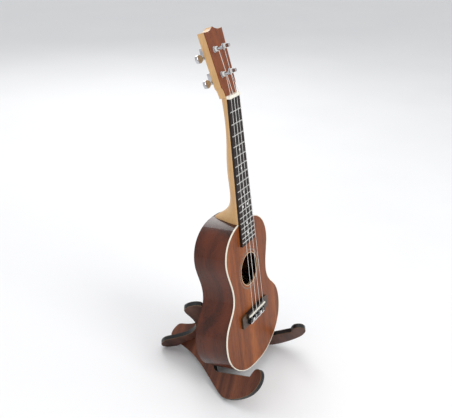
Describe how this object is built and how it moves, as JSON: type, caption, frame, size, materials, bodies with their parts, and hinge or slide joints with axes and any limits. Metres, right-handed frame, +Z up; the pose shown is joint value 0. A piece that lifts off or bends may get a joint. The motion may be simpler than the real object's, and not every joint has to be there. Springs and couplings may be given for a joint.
{
  "type": "guitar on stand",
  "caption": "Small figure-eight guitar with a long neck and geared tuners, resting in an X stand of two slotted boards whose hooks hold its lower end.",
  "frame": {"origin": "on the floor at the middle of the footprint's bounding box", "axes": "+Z up, -Y the way the instrument faces, X across it"},
  "size_m": [0.2138, 0.2518, 0.6191],
  "materials": {
    "board_edge": "black stained, satin",
    "underlay": "pale",
    "walnut_a": "open-grain satin",
    "walnut_b": "open-grain satin",
    "top_mahogany": "satin",
    "body_mahogany": "gloss",
    "head_mahogany": "satin",
    "binding": "gloss",
    "rosette": "inlaid dots",
    "neck_wood": "satin",
    "inner_spruce": "raw",
    "fingerboard": "satin",
    "bridge_wood": "satin",
    "bone": "polished",
    "pearl": "polished",
    "fret_wire": "polished",
    "nylon": "clear white",
    "chrome": "polished"
  },
  "bodies": {
    "board_a": {"board_a_core": "board_edge", "board_a_underlay_left": "underlay", "board_a_underlay_right": "underlay", "board_a_veneer_left": "walnut_a", "board_a_veneer_right": "walnut_a"},
    "board_b": {"board_b_core": "board_edge", "board_b_underlay_left": "underlay", "board_b_underlay_right": "underlay", "board_b_veneer_left": "walnut_b", "board_b_veneer_right": "walnut_b"},
    "ukulele": {"back_braces": "inner_spruce", "back_linings": "inner_spruce", "back_plate": "body_mahogany", "bridge": "bridge_wood", "bridge_dots": "pearl", "bridge_plate": "inner_spruce", "fingerboard": "fingerboard", "fret_dots": "pearl", "frets": "fret_wire", "head_veneer": "head_mahogany", "neck": "neck_wood", "neck_block": "inner_spruce", "nut": "bone", "rosette": "rosette", "saddle": "bone", "side_left": "body_mahogany", "side_right": "body_mahogany", "soundboard": "top_mahogany", "string_1": "nylon", "string_2": "nylon", "string_3": "nylon", "string_4": "nylon", "tail_block": "inner_spruce", "tie_block_line": "pearl", "top_binding": "binding", "top_braces": "inner_spruce", "top_linings": "inner_spruce", "tuner_bushings": "chrome", "tuner_case_1": "chrome", "tuner_case_2": "chrome", "tuner_case_3": "chrome", "tuner_case_4": "chrome", "tuner_screws": "chrome"},
    "knob_1": {"tuner_knob_1": "chrome"},
    "post_1": {"tuner_post_1": "chrome", "string_turns_1": "nylon"},
    "knob_2": {"tuner_knob_2": "chrome"},
    "post_2": {"tuner_post_2": "chrome", "string_turns_2": "nylon"},
    "knob_3": {"tuner_knob_3": "chrome"},
    "post_3": {"tuner_post_3": "chrome", "string_turns_3": "nylon"},
    "knob_4": {"tuner_knob_4": "chrome"},
    "post_4": {"tuner_post_4": "chrome", "string_turns_4": "nylon"}
  },
  "joints": [
    {"name": "boards_apart", "type": "slide", "parent": "board_a", "child": "board_b", "axis": [0, -0.7822, 0.6231], "range_m": [0, 0.07]},
    {"name": "ukulele_lift", "type": "slide", "parent": "board_b", "child": "ukulele", "axis": [0, 0, 1], "range_m": [0, 0.18]},
    {"name": "knob_turn_1", "type": "hinge", "parent": "ukulele", "child": "knob_1", "pos_m": [-0.0123, 0.0186, 0.53702], "axis": [-1, 0, 0], "continuous": true},
    {"name": "post_turn_1", "type": "hinge", "parent": "ukulele", "child": "post_1", "pos_m": [-0.0123, 0.00545, 0.54948], "axis": [0, -0.9404, 0.3399], "continuous": true},
    {"name": "knob_turn_2", "type": "hinge", "parent": "ukulele", "child": "knob_2", "pos_m": [-0.0135, 0.0322, 0.57464], "axis": [-1, 0, 0], "continuous": true},
    {"name": "post_turn_2", "type": "hinge", "parent": "ukulele", "child": "post_2", "pos_m": [-0.0135, 0.01905, 0.5871], "axis": [0, -0.9404, 0.3399], "continuous": true},
    {"name": "knob_turn_3", "type": "hinge", "parent": "ukulele", "child": "knob_3", "pos_m": [0.0135, 0.0322, 0.57464], "axis": [1, 0, 0], "continuous": true},
    {"name": "post_turn_3", "type": "hinge", "parent": "ukulele", "child": "post_3", "pos_m": [0.0135, 0.01905, 0.5871], "axis": [0, -0.9404, 0.3399], "continuous": true},
    {"name": "knob_turn_4", "type": "hinge", "parent": "ukulele", "child": "knob_4", "pos_m": [0.0123, 0.0186, 0.53702], "axis": [1, 0, 0], "continuous": true},
    {"name": "post_turn_4", "type": "hinge", "parent": "ukulele", "child": "post_4", "pos_m": [0.0123, 0.00545, 0.54948], "axis": [0, -0.9404, 0.3399], "continuous": true}
  ],
  "couplings": [
    {"joint": "post_turn_1", "follows": "knob_turn_1", "ratio": 0.071429},
    {"joint": "post_turn_2", "follows": "knob_turn_2", "ratio": 0.071429},
    {"joint": "post_turn_3", "follows": "knob_turn_3", "ratio": -0.071429},
    {"joint": "post_turn_4", "follows": "knob_turn_4", "ratio": -0.071429}
  ]
}
